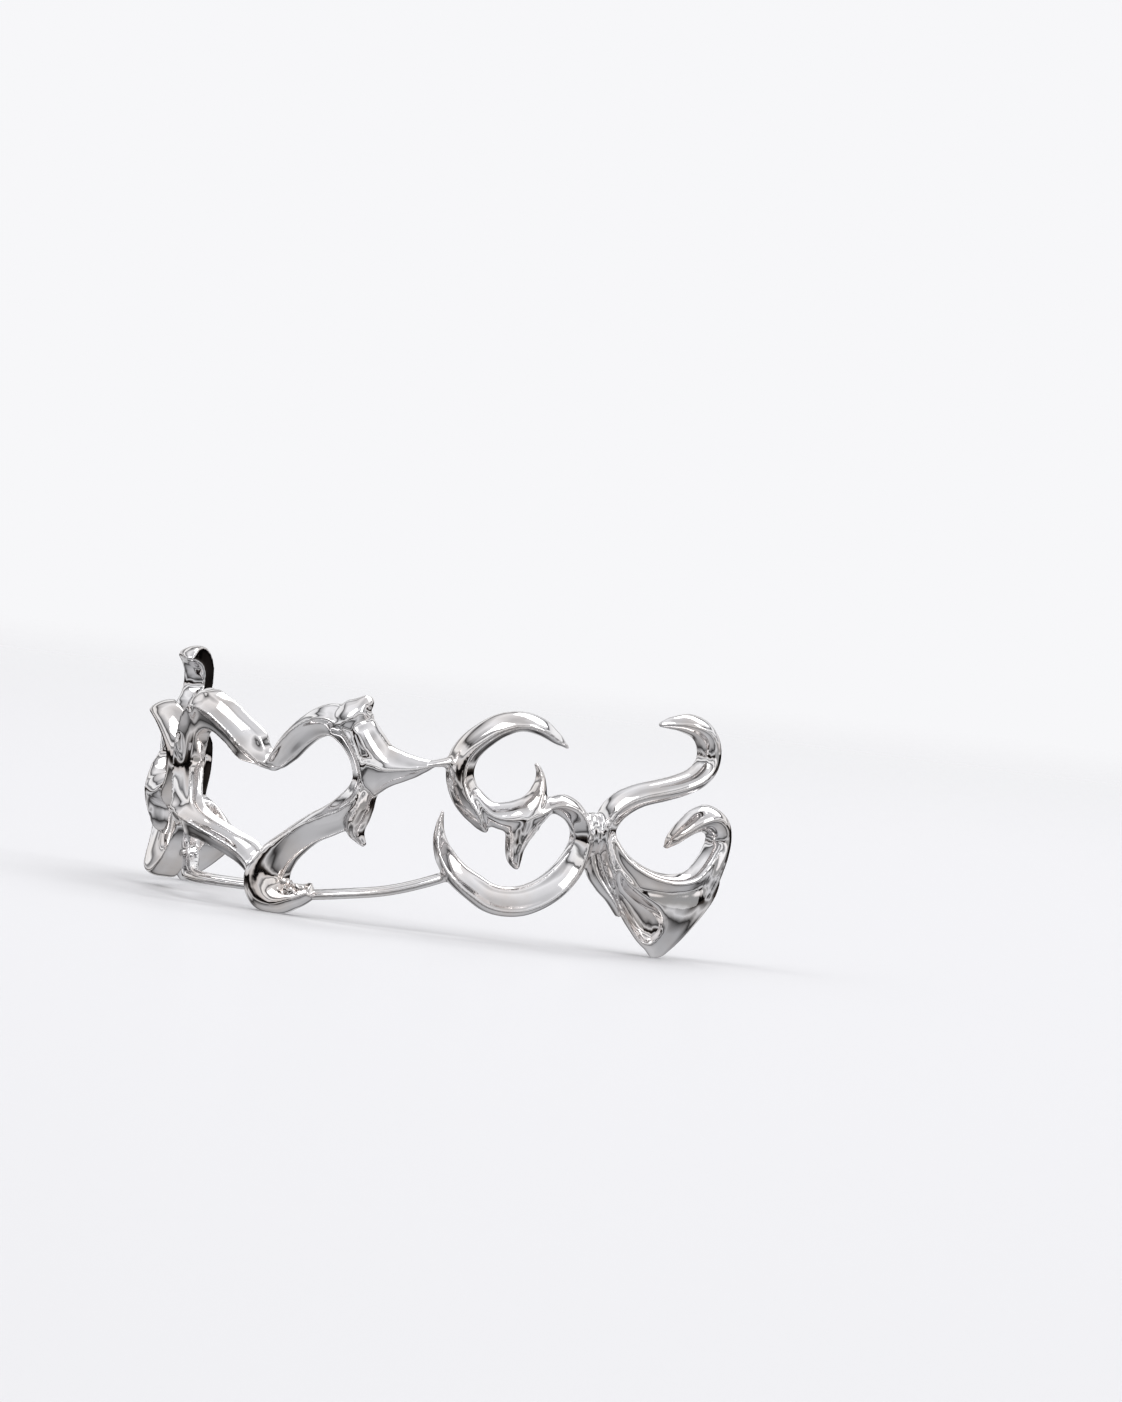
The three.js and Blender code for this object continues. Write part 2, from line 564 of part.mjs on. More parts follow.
function sideSolids(side) {
  const scroll = (rows) => (side > 0 ? rows : leftScrollRows(rows));
  const canine = (rows) => (side > 0 ? rows : mirrorRows(rows));
  const crescent = scroll(scrollCrescent);
  const prong = heartSpikes.find((spike) => spike.name === (side > 0 ? 'right prong' : 'left prong'));
  const prongTip = prong.rows[prong.rows.length - 1];
  const fang = ringsSolid(fangRings, side).subtract(ringsSolid(cupRings, side)).subtract(fangNotch(side));
  const canineBands = joinAll([
    band(canine(canineHook), canineHookSeat),
    band(canine(canineCurl), curlSeat),
    band(canine(canineRim), rimSeat),
  ]).subtract(ringsSolid(cupRings, side));
  return joinAll([
    band(scroll(scrollHook), hookSeat),
    band(scroll(scrollWeb), webSeat),
    band(scroll(scrollThornUp), thornUpSeat),
    band(scroll(scrollThornDown), thornDownSeat),
    band(crescent, crescentSeat),
    band(canine(canineSeam), seamSeat),
    band(canine(canineLeaf), leafSeat),
    band(flareRows(prongTip, nearestRow(scroll(scrollHook), prongTip)), flareSeat),
    band(railRows(side, crescent), railSeat),
    joinAll([fang, canineBands]).subtract(fangScoop(side)),
  ]);
}

const heart = joinAll([
  band(heartRight, heartSeat),
  band(heartLeft, heartLeftSeat),
  ...heartSpikes.map((spike, i) => (
    band(spike.rows, { ...spikeSeat, seat: spikeSeat.seat + spikeSeat.step * i }))),
]);
let grill = joinAll([heart, sideSolids(1), sideSolids(-1)]);

function geometryOf(solid) {
  const mesh = solid.getMesh();
  const geometry = new THREE.BufferGeometry();
  geometry.setAttribute('position', new THREE.BufferAttribute(mesh.vertProperties, 3));
  geometry.setIndex(new THREE.BufferAttribute(mesh.triVerts, 1));
  return geometry;
}

// The piece leans forward, and a hair to one side, until its heart and two fangs share one level
const feet = {
  heart: (point) => point.y < centralWidth / 2,
  rightFang: (point) => point.x > lateralWidth,
  leftFang: (point) => point.x < -lateralWidth,
};
function lowest(geometry, stance, isFoot) {
  const position = geometry.attributes.position;
  const point = new THREE.Vector3();
  let low = Infinity;
  for (let i = 0; i < position.count; i++) {
    point.fromBufferAttribute(position, i);
    if (isFoot(point)) low = Math.min(low, point.applyEuler(stance).z);
  }
  return low;
}
const worn = geometryOf(grill);
const stance = new THREE.Euler(0, 0, 0);
const stancePasses = 20;
for (let pass = 0; pass < stancePasses; pass++) {
  const heartLow = lowest(worn, stance, feet.heart);
  const rightLow = lowest(worn, stance, feet.rightFang);
  const leftLow = lowest(worn, stance, feet.leftFang);
  stance.x += (2 * heartLow - rightLow - leftLow) / archHalfDepth;
  stance.y += (rightLow - leftLow) / (2 * archHalfWidthRight);
}
const floorLevel = lowest(worn, stance, feet.heart) + restFlat;

const floorSize = archHalfDepth * 4;
const floorBlock = new THREE.BoxGeometry(floorSize, floorSize, fangDrop);
floorBlock.translate(0, 0, floorLevel - fangDrop / 2);
floorBlock.applyMatrix4(new THREE.Matrix4().makeRotationFromEuler(stance).invert());
grill = grill.subtract(solidFrom(floorBlock));

// The finished piece, in one polished metal, centred over the origin
const silver = new THREE.MeshStandardMaterial({ color: 0xd9d8da, roughness: 0.12, metalness: 1 });
const grillMesh = new THREE.Mesh(geometryOf(grill), silver);
grillMesh.name = 'grill';
grillMesh.rotation.copy(stance);
grillMesh.updateMatrixWorld();
const reach = new THREE.Box3().setFromObject(grillMesh, true);
const middle = reach.getCenter(new THREE.Vector3());
grillMesh.position.set(-middle.x, -middle.y, -reach.min.z);

const part = new THREE.Group();
part.add(grillMesh);
export default part;
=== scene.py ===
# Openwork silver grill for the six upper front teeth, standing on a pale sheet in a white studio.
# The bands are drawn on the front of the teeth in millimetres, as along, up and out, and the
# finished castings are then stood up and brought to metres.
import math

import bmesh
import bpy
import numpy as np
from mathutils import Matrix, Vector


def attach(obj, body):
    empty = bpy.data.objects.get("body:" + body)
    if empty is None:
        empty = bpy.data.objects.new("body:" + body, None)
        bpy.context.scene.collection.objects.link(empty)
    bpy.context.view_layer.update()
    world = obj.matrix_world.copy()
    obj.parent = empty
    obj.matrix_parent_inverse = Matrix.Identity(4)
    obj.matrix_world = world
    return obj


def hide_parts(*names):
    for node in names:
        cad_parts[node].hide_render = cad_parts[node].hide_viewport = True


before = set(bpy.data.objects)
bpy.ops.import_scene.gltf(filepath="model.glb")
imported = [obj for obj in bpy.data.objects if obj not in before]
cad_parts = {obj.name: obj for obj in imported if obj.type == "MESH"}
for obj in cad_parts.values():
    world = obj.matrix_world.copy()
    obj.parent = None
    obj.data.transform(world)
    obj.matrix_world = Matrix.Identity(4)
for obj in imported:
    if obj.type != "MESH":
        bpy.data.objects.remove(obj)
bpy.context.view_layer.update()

# the photograph's camera: its azimuth from the front, angle above the floor and roll in degrees, its
# distance in metres, and its lens and sensor in mm
view = {
    "azimuth": 35.6,
    "elevation": 2.3,
    "roll": 7.0,
    "distance": 0.350,
    "lens": 187.4,
    "sensor": 36,
    "picture": (1122, 1402),
    "anchor": (-0.0007, -0.0015, 0.0057),  # a place in the piece's middle
    "anchorPixel": (342.6, 795.0),         # where it falls in the picture
}

# the teeth that the piece follows, and the half ellipse of their arch to each side, in mm
teeth = {
    "central": 8.9,
    "lateral": 7.5,
    "canine": 7.5,
    "crown": 10.0,
    "halfWidth": {1: 19.5, -1: 18.4},
    "halfDepth": 29.0,
    "arcEnd": 0.49,  # the arch's measured part, as a share of a half turn
    "arcCuts": 401,
    "frontLean": 0.2,
    "sideLean": 0.05,
    "bulge": 0.6,
    "leftScrollHeight": 8.9,
    "leftScrollDrop": 0.8,
    "leftTuck": 1.0,
    "leftCanineTuck": 0.9,
}

# how the worn piece is tipped to stand on its heart and two fangs, and moved over the origin
stance = {
    "leanForward": 9.658,
    "leanAside": -0.354,
    "shift": (-0.7361, -6.7140, 0.7219),
}

casting = {
    "station": 0.13,   # steps along a band
    "cuts": 30,        # places on the curve between two rows
    "sizeSlope": 0.6,  # how fast a band's sizes may change at a row
    "thinnest": 0.2,
    "voxel": 0.066,    # how finely the bands are melted into one
    "fillet": 0.42,    # the smallest hollow radius where bands meet
    "fillSteps": 90,
    "slide": 0.2,      # how far the skin slides along itself at each of those steps
    "rubSteps": 2,     # even rubs before the fillets
    "polishSteps": 9,  # and after them
    "rub": 0.5,
    "grain": 0.30,     # radius of a grain of solder
    "grainShape": (1, 0.6, 0.8),
    "turn": 2.4,       # radians from one grain to the next
    "crease": 42,      # degrees above which an edge stays sharp to the eye
}


def placeCamera():
    a, e, r = (math.radians(view[key]) for key in ("azimuth", "elevation", "roll"))
    back = Vector((math.sin(a) * math.cos(e), -math.cos(a) * math.cos(e), math.sin(e)))
    level = Vector((math.cos(a), math.sin(a), 0))
    right = math.cos(r) * level + math.sin(r) * back.cross(level)
    up = back.cross(right)
    wide, high = view["picture"]
    focal = view["lens"] / view["sensor"] * high
    aside = (view["anchorPixel"][0] - wide / 2) / focal
    above = (high / 2 - view["anchorPixel"][1]) / focal
    aim = (-back - aside * right - above * up).normalized()
    right = (right - right.dot(aim) * aim).normalized()
    bpy.ops.object.camera_add(location=Vector(view["anchor"]) + back * view["distance"])
    eye = bpy.context.object
    eye.name = "camera"
    eye.rotation_mode = "QUATERNION"
    eye.rotation_quaternion = Matrix((right, right.cross(aim), -aim)).transposed().to_quaternion()
    eye.data.lens = view["lens"]
    eye.data.clip_start, eye.data.clip_end = 0.01, 20
    bpy.context.scene.camera = eye


placeCamera()

edges = [0.0, teeth["central"], teeth["central"] + teeth["lateral"]]
edges.append(edges[2] + teeth["canine"])
lateralMiddle = (edges[1] + edges[2]) / 2
canineMiddle = (edges[2] + edges[3]) / 2


def arcTable(halfWidth):
    angles = np.linspace(0, math.pi * teeth["arcEnd"], teeth["arcCuts"])
    middles = (angles[1:] + angles[:-1]) / 2
    speeds = np.hypot(halfWidth * np.cos(middles), teeth["halfDepth"] * np.sin(middles))
    return angles, np.concatenate([[0], np.cumsum(speeds * np.diff(angles))])


arcs = {side: arcTable(halfWidth) for side, halfWidth in teeth["halfWidth"].items()}


def bulgeAt(along):
    tooth = 0 if along < edges[1] else 1 if along < edges[2] else 2
    share = (along - edges[tooth]) / (edges[tooth + 1] - edges[tooth])
    return -teeth["bulge"] / 2 * math.cos(2 * math.pi * min(share, 1))


def tuckAt(along, up):
    aside = (along + lateralMiddle) / teeth["lateral"]
    canineShare = min(1, max(0, (-along - edges[2]) / (canineMiddle - edges[2])))
    return (teeth["leftTuck"] * max(0, 1 - aside * aside) * max(0, 1 - up / teeth["crown"])
            + teeth["leftCanineTuck"] * canineShare)


def toothPoint(along, up, out):
    side = -1 if along < 0 else 1
    halfWidth, halfDepth = teeth["halfWidth"][side], teeth["halfDepth"]
    angles, lengths = arcs[side]
    length = abs(along)
    angle = float(np.interp(length, lengths, angles))
    tangent = Vector((halfWidth * math.cos(angle), halfDepth * math.sin(angle))).normalized()
    share = min(length / edges[3], 1)
    lean = teeth["frontLean"] + (teeth["sideLean"] - teeth["frontLean"]) * share
    reach = out + bulgeAt(length) - lean * up - tuckAt(along, up)
    x = halfWidth * math.sin(angle) + tangent.y * reach
    y = halfDepth * (1 - math.cos(angle)) - tangent.x * reach
    return Vector((side * x, y, up))


# A band's rows give across and up as shares of the tooth, wide and high as shares of the band's
# own size, crest as the ridge's place from right (-1) to left (1) of the way along, and how much
# the flanks right and left of the ridge swell (above 0) or hollow (below 0).
def rowsOf(table, place):
    rows = []
    for row in table:
        across, up, wide, high, crest = row[:5]
        swells = row[5:] if len(row) == 7 else place["swells"]
        rows.append([place["middle"] + across * place["width"], up * teeth["crown"],
                     wide * place["band"], high * place["rise"], crest, *swells])
    return np.array(rows)


def mirrored(rows):
    turned = rows * np.array([-1, 1, 1, 1, -1, 1, 1])
    turned[:, [5, 6]] = turned[:, [6, 5]]
    return turned


def leftScroll(rows):
    turned = mirrored(rows)
    turned[:, 1] *= teeth["leftScrollHeight"] / teeth["crown"]
    turned[:, 1] -= teeth["leftScrollDrop"]
    return turned


def blend(t, start, end, startSlope, endSlope):
    return ((2 * t**3 - 3 * t**2 + 1) * start + (t**3 - 2 * t**2 + t) * startSlope
            + (3 * t**2 - 2 * t**3) * end + (t**3 - t**2) * endSlope)


def smoothRows(rows, step):
    # a curve through the rows, cut at even steps, with the way it heads at each
    knots = np.concatenate([[0], np.cumsum(np.sqrt(np.hypot(*np.diff(rows[:, :2], axis=0).T)))])
    slopes = np.gradient(rows, knots, axis=0)
    slopes[:, 2:] *= casting["sizeSlope"]
    fine = []
    for k in range(len(rows) - 1):
        gap = knots[k + 1] - knots[k]
        t = np.linspace(0, 1, casting["cuts"], endpoint=k == len(rows) - 2)[:, None]
        fine.append(blend(t, rows[k], rows[k + 1], gap * slopes[k], gap * slopes[k + 1]))
    fine = np.concatenate(fine)
    lengths = np.concatenate([[0], np.cumsum(np.hypot(*np.diff(fine[:, :2], axis=0).T))])
    even = np.linspace(0, lengths[-1], max(4, round(lengths[-1] / step)) + 1)
    stations = np.stack([np.interp(even, lengths, column) for column in fine.T], axis=1)
    headings = np.gradient(stations[:, :2], axis=0)
    return stations, headings / np.hypot(*headings.T)[:, None]


# a band's section has a flat back, two walls and two flanks that meet in a crest; across runs from
# -1 to 1 and out from 0 to 1
section = {"shoulder": 0.92, "wallMiddle": 0.98, "flankSteps": 6}


def bandSection(crest, wall, swellRight, swellLeft):
    shoulder, steps = section["shoulder"], section["flankSteps"]
    points = [(-1, 0), (-0.5, 0), (0, 0), (0.5, 0), (1, 0)]
    points += [(section["wallMiddle"], wall / 2), (shoulder, wall)]
    rightSteps, leftSteps = range(steps - 1, -1, -1), range(1, steps + 1)
    for side, swell, flank in ((1, swellLeft, leftSteps), (-1, swellRight, rightSteps)):
        run, climb = side * shoulder - crest, 1 - wall
        long = math.hypot(run, climb)
        for k in flank:
            t = k / steps
            lift = swell * 4 * t * (1 - t)
            points.append((side * shoulder - run * t + lift * side * climb / long,
                           wall + climb * t + lift * abs(run) / long))
    points.append((-section["wallMiddle"], wall / 2))
    return points


def drawRings(name, rings):
    # the first ring is a filled circle, and its face is extruded from ring to ring
    bpy.ops.object.select_all(action="DESELECT")
    bpy.ops.mesh.primitive_circle_add(vertices=len(rings[0]), radius=1, fill_type="NGON")
    band = bpy.context.object
    band.name = name
    bpy.ops.object.mode_set(mode="EDIT")
    for k, ring in enumerate(rings):
        if k:
            bpy.ops.mesh.extrude_region_move(TRANSFORM_OT_translate={"value": (0, 0, 0)})
        mesh = bmesh.from_edit_mesh(band.data)
        cap = next(face for face in mesh.faces if face.select)
        for vert, point in zip(cap.verts, ring):
            vert.co = point
    bpy.ops.mesh.select_all(action="SELECT")
    bpy.ops.mesh.normals_make_consistent(inside=False)
    bpy.ops.object.mode_set(mode="OBJECT")
    return band


def drawBand(name, rows, seat, wall):
    # seat is how far its back stands out from the teeth in mm, wall is where its flanks start as a
    # share of its height
    rings = []
    for station, heading in zip(*smoothRows(rows, casting["station"])):
        along, up, wide, high, crest, swellRight, swellLeft = station
        half, rise = max(wide, casting["thinnest"]) / 2, max(high, casting["thinnest"])
        rings.append([toothPoint(along - heading[1] * across * half, up + heading[0] * across * half,
                                 seat + out * rise)
                      for across, out in bandSection(crest, wall, swellRight, swellLeft)])
    return drawRings(name, rings)


def applyModifier(piece, kind, settings):
    bpy.ops.object.select_all(action="DESELECT")
    piece.select_set(True)
    bpy.context.view_layer.objects.active = piece
    modifier = piece.modifiers.new(kind.lower(), kind)
    for key, value in settings.items():
        setattr(modifier, key, value)
    bpy.ops.object.modifier_apply(modifier=modifier.name)


def joinSolid(piece, other, operation="UNION"):
    applyModifier(piece, "BOOLEAN", {"operation": operation, "solver": "MANIFOLD", "object": other})
    bpy.data.objects.remove(other)


def meltTogether(name, pieces):
    whole = pieces[0]
    for piece in pieces[1:]:
        joinSolid(whole, piece)
    whole.name = name
    return whole


def addGrains(whole, places):
    # places give along, up and out in mm and the grain's size as a share
    for k, (along, up, out, size) in enumerate(places):
        bpy.ops.object.select_all(action="DESELECT")
        bpy.ops.mesh.primitive_ico_sphere_add(subdivisions=1, radius=casting["grain"] * size)
        grain = bpy.context.object
        grain.location = toothPoint(along, up, out)
        grain.rotation_euler = [casting["turn"] * k, casting["turn"] * k * 2, 0]
        grain.scale = casting["grainShape"]
        bpy.ops.object.transform_apply(location=True, rotation=True, scale=True)
        joinSolid(whole, grain)


def dropStrays(piece):
    # keeps the biggest body and deletes slivers and grains that touch nothing
    name = piece.name
    bpy.ops.object.select_all(action="DESELECT")
    piece.select_set(True)
    bpy.context.view_layer.objects.active = piece
    bpy.ops.object.mode_set(mode="EDIT")
    bpy.ops.mesh.select_all(action="SELECT")
    bpy.ops.mesh.separate(type="LOOSE")
    bpy.ops.object.mode_set(mode="OBJECT")
    bodies = sorted(bpy.context.selected_objects, key=lambda body: len(body.data.polygons))
    for stray in bodies[:-1]:
        bpy.data.objects.remove(stray)
    bodies[-1].name = name
    return bodies[-1]


def vertexNormals(points, quads):
    diagonals = points[quads[:, 2:]] - points[quads[:, :2]]
    across = np.cross(diagonals[:, 0], diagonals[:, 1])
    normals = np.stack([sum(np.bincount(quads[:, k], across[:, axis], len(points)) for k in range(4))
                        for axis in range(3)], axis=1)
    return normals / np.maximum(np.linalg.norm(normals, axis=1), 1e-12)[:, None]


def polish(whole):
    # melts the bands into one skin, lays a fillet where they meet and rubs the skin smooth
    bpy.ops.object.select_all(action="DESELECT")
    whole.select_set(True)
    bpy.context.view_layer.objects.active = whole
    bpy.ops.object.duplicate()
    drawn = bpy.context.object
    applyModifier(whole, "REMESH", {"mode": "VOXEL", "voxel_size": casting["voxel"]})
    applyModifier(whole, "SHRINKWRAP", {"target": drawn, "wrap_method": "NEAREST_SURFACEPOINT"})
    bpy.data.objects.remove(drawn)
    mesh = whole.data
    points = np.empty(len(mesh.vertices) * 3)
    mesh.vertices.foreach_get("co", points)
    points = points.reshape(-1, 3)
    quads = np.array([(list(face.vertices) * 2)[:4] for face in mesh.polygons])
    pairs = np.empty(len(mesh.edges) * 2, dtype=int)
    mesh.edges.foreach_get("vertices", pairs)
    here, there = np.concatenate([pairs.reshape(-1, 2), pairs.reshape(-1, 2)[:, ::-1]]).T
    degree = np.bincount(here, minlength=len(points))[:, None]

    def towardsNeighbours():
        sums = [np.bincount(here, points[there, axis], len(points)) for axis in range(3)]
        return np.stack(sums, axis=1) / degree - points

    limit = casting["voxel"]**2 / (4 * casting["fillet"])
    for step in range(casting["rubSteps"]):
        points += casting["rub"] * towardsNeighbours()
    for step in range(casting["fillSteps"]):
        pull = towardsNeighbours()
        normals = vertexNormals(points, quads)
        hollow = (pull * normals).sum(axis=1)
        points += normals * np.clip(hollow - limit, 0, None)[:, None]
        points += casting["slide"] * (pull - normals * hollow[:, None])
    for step in range(casting["polishSteps"]):
        points += casting["rub"] * towardsNeighbours()
    mesh.vertices.foreach_set("co", points.ravel())
    mesh.update()


def standUp(piece):
    # tips the worn piece onto its feet, brings it to metres and rubs its feet flat on the floor
    piece.rotation_mode = "YXZ"
    piece.rotation_euler = (math.radians(stance["leanForward"]), math.radians(stance["leanAside"]), 0)
    piece.location = Vector(stance["shift"]) / 1000
    piece.scale = (0.001, 0.001, 0.001)
    bpy.ops.object.select_all(action="DESELECT")
    piece.select_set(True)
    bpy.context.view_layer.objects.active = piece
    bpy.ops.object.transform_apply(location=True, rotation=True, scale=True)
    piece.rotation_mode = "XYZ"
    for vert in piece.data.vertices:
        vert.co.z = max(vert.co.z, 0)
    bpy.ops.object.shade_smooth_by_angle(angle=math.radians(casting["crease"]))


def finishPiece(piece, material):
    piece.data.materials.clear()
    piece.data.materials.append(material)
    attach(piece, "root")
    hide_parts("grill")


def addNode(tree, kind, settings=None, links=None):
    node = tree.nodes.new(kind)
    for key, value in (settings or {}).items():
        if isinstance(key, str) and key not in node.inputs:
            setattr(node, key, value)
        else:
            node.inputs[key].default_value = value
    for key, source in (links or {}).items():
        tree.links.new(source, node.inputs[key])
    return node


def hexColour(code):
    parts = [int(code[k:k + 2], 16) / 255 for k in (1, 3, 5)]
    return tuple(p / 12.92 if p <= 0.04045 else ((p + 0.055) / 1.055)**2.4 for p in parts) + (1,)


def ramp(node, stops):
    # stops are places from 0 to 1 with their colours
    while len(node.color_ramp.elements) > 1:
        node.color_ramp.elements.remove(node.color_ramp.elements[-1])
    for k, (place, colour) in enumerate(stops):
        stop = node.color_ramp.elements[0] if k == 0 else node.color_ramp.elements.new(place)
        stop.position, stop.color = place, colour


# Sterling silver, cast and buffed to a mirror: the eye sees the room in it, bright or black, with
# a faint waviness that the wax left and warm traces of tarnish that the mop doesn't reach.
silverFinish = {
    "colours": [(0.42, "#F3F2F3"), (0.7, "#EBE5E1")],
    "tarnishSize": 2.2,   # mm
    "waveSize": 2.1,      # mm
    "waveDepth": 0.036,   # mm
    "roughness": (0.035, 0.08),
}


def polishedSilver():
    material = bpy.data.materials.new("polishedSterlingSilver")
    material.use_nodes = True
    tree = material.node_tree
    shader = tree.nodes["Principled BSDF"]
    place = addNode(tree, "ShaderNodeTexCoord").outputs["Object"]
    tarnish = addNode(tree, "ShaderNodeTexNoise",
                      {"Scale": 1000 / silverFinish["tarnishSize"], "Detail": 3}, {"Vector": place})
    colour = addNode(tree, "ShaderNodeValToRGB", {}, {"Fac": tarnish.outputs["Fac"]})
    ramp(colour, [(share, hexColour(code)) for share, code in silverFinish["colours"]])
    tree.links.new(colour.outputs["Color"], shader.inputs["Base Color"])
    lo, hi = silverFinish["roughness"]
    rough = addNode(tree, "ShaderNodeMapRange", {"To Min": lo, "To Max": hi},
                    {"Value": tarnish.outputs["Fac"]})
    tree.links.new(rough.outputs["Result"], shader.inputs["Roughness"])
    wave = addNode(tree, "ShaderNodeTexNoise", {"Scale": 1000 / silverFinish["waveSize"], "Detail": 1},
                   {"Vector": place})
    bump = addNode(tree, "ShaderNodeBump", {"Strength": 1.0, "Distance": silverFinish["waveDepth"] / 1000},
                   {"Height": wave.outputs["Fac"]})
    tree.links.new(bump.outputs["Normal"], shader.inputs["Normal"])
    shader.inputs["Metallic"].default_value = 1
    return material


silver = polishedSilver()
print("silver mixed")

# the heart over the two central teeth
heart = {
    "middle": 0,
    "width": teeth["central"],
    "band": 1.5,  # mm
    "rise": 1.45,
    "swells": (-0.10, -0.10),
    "spikeSwells": (0.09, 0.09),
    "spikeSeat": 0.1,
    "spikeStep": 0.02,
}
heart["right"] = [
    (-0.07, 0.60, 0.45, 0.60, 0.2),
    (-0.02, 0.645, 0.75, 0.85, 0.3),
    (0.05, 0.705, 0.95, 1.00, 0.3),
    (0.14, 0.775, 0.97, 1.00, 0.4),
    (0.24, 0.83, 0.97, 1.00, 0.4),
    (0.34, 0.855, 1.00, 1.00, 0.3),
    (0.44, 0.835, 1.12, 1.05, 0.1),
    (0.525, 0.755, 1.00, 1.05, 0.0),
    (0.565, 0.67, 0.90, 1.05, 0.0),
    (0.575, 0.60, 0.88, 1.00, 0.0),
    (0.55, 0.525, 0.98, 1.00, 0.0),
    (0.485, 0.45, 1.10, 1.00, -0.2),
    (0.39, 0.395, 1.00, 1.00, -0.4, 0.0, -0.08),
    (0.28, 0.345, 0.95, 1.00, -0.45, 0.05, 0.0),
    (0.15, 0.26, 1.02, 1.00, -0.45, 0.08, 0.06),
    (0.06, 0.18, 1.26, 1.02, -0.45, 0.10, 0.12),
    (0.018, 0.10, 1.46, 1.05, -0.4, 0.12, 0.16),
    (0.045, 0.03, 1.42, 1.05, -0.3, 0.12, 0.16),
    (0.115, 0.005, 1.10, 1.00, -0.2, 0.12, 0.14),
    (0.215, 0.02, 0.75, 0.85, 0.0, 0.12, 0.12),
    (0.31, 0.055, 0.50, 0.60, 0.0, 0.12, 0.12),
]
heart["left"] = [
    (-0.03, 0.60, 0.40, 0.60, 0.0),
    (-0.12, 0.635, 0.60, 0.85, -0.1),
    (-0.21, 0.685, 1.10, 1.00, -0.2),
    (-0.325, 0.75, 1.05, 1.00, -0.3),
    (-0.46, 0.805, 1.15, 1.00, -0.3),
    (-0.60, 0.81, 1.35, 1.05, -0.3),
    (-0.71, 0.735, 1.25, 1.08, -0.4),
    (-0.75, 0.62, 1.25, 1.08, -0.5),
    (-0.75, 0.52, 1.30, 1.05, -0.5),
    (-0.715, 0.435, 1.30, 1.02, -0.4),
    (-0.66, 0.35, 1.35, 1.00, -0.1),
    (-0.56, 0.30, 1.10, 1.00, 0.3),
    (-0.42, 0.27, 0.85, 0.95, 0.4),
    (-0.26, 0.225, 0.80, 0.90, 0.4),
    (-0.135, 0.18, 0.85, 0.85, 0.2),
    (-0.02, 0.09, 0.80, 0.75, 0.0),
]
heart["spikes"] = {
    "rightHorn": [
        (0.36, 0.83, 0.70, 0.70, 0.0),
        (0.43, 0.855, 1.10, 0.96, 0.0),
        (0.49, 0.885, 1.18, 0.98, 0.0),
        (0.53, 0.918, 0.92, 0.88, 0.0),
        (0.556, 0.944, 0.60, 0.70, 0.0),
        (0.588, 0.942, 0.26, 0.42, 0.0),
    ],
    "rightFin": [
        (0.49, 0.87, 0.60, 0.70, 0.0),
        (0.54, 0.825, 0.95, 0.94, 0.0),
        (0.585, 0.755, 1.10, 0.98, 0.0),
        (0.645, 0.70, 1.05, 0.94, 0.0),
        (0.72, 0.675, 0.70, 0.82, 0.0),
        (0.80, 0.665, 0.40, 0.60, 0.0),
    ],
    "rightProng": [
        (0.545, 0.665, 1.30, 0.60, 0.0),
        (0.585, 0.662, 2.05, 0.98, 0.15),
        (0.632, 0.657, 1.80, 0.98, 0.15),
        (0.689, 0.658, 1.37, 0.91, 0.0),
        (0.75, 0.657, 1.06, 0.82, 0.0),
        (0.82, 0.658, 0.76, 0.72, 0.0),
        (0.893, 0.665, 0.44, 0.56, 0.0),
        (0.938, 0.673, 0.24, 0.44, 0.0),
        (0.97, 0.68, 0.16, 0.36, 0.0),
    ],
    "rightThorn": [
        (0.575, 0.61, 0.40, 0.50, 0.0),
        (0.575, 0.55, 0.66, 0.78, 0.0),
        (0.560, 0.48, 0.80, 0.88, 0.0),
        (0.538, 0.41, 0.78, 0.92, 0.0),
        (0.538, 0.355, 0.56, 0.82, 0.0),
        (0.563, 0.315, 0.28, 0.60, 0.0),
        (0.587, 0.285, 0.13, 0.35, 0.0),
    ],
    "leftHorn": [
        (-0.58, 0.80, 1.40, 0.98, 0.0),
        (-0.635, 0.85, 1.00, 0.88, 0.0),
        (-0.685, 0.89, 0.45, 0.55, 0.0),
    ],
    "leftProng": [
        (-0.75, 0.64, 1.70, 1.00, 0.0),
        (-0.82, 0.635, 1.15, 0.90, 0.0),
        (-0.89, 0.625, 0.60, 0.68, 0.0),
        (-0.965, 0.62, 0.25, 0.45, 0.0),
    ],
    "leftThorn": [
        (-0.68, 0.345, 1.40, 0.95, 0.0),
        (-0.745, 0.29, 0.95, 0.78, 0.0),
        (-0.81, 0.24, 0.40, 0.50, 0.0),
    ],
}
# the rough patch of solder where the heart's swoosh ends: across, up, mm out and size
heart["grains"] = [
    (0.165, 0.09, 1.05, 0.8), (0.185, 0.06, 1.10, 0.9), (0.175, 0.025, 1.00, 0.8),
    (0.205, 0.085, 0.95, 0.7), (0.215, 0.05, 1.02, 1.0), (0.205, 0.015, 0.92, 0.8),
    (0.235, 0.075, 0.85, 0.7), (0.245, 0.035, 0.90, 0.9), (0.24, 0.0, 0.75, 0.7),
    (0.265, 0.065, 0.78, 0.7), (0.275, 0.03, 0.75, 0.7), (0.295, 0.085, 0.60, 0.6),
    (0.15, 0.045, 1.12, 0.6),
]
spikePlace = {**heart, "swells": heart["spikeSwells"]}
spikes = {name: rowsOf(table, spikePlace) for name, table in heart["spikes"].items()}
heartRight = rowsOf(heart["right"], heart)
heartLeft = rowsOf(heart["left"], heart)

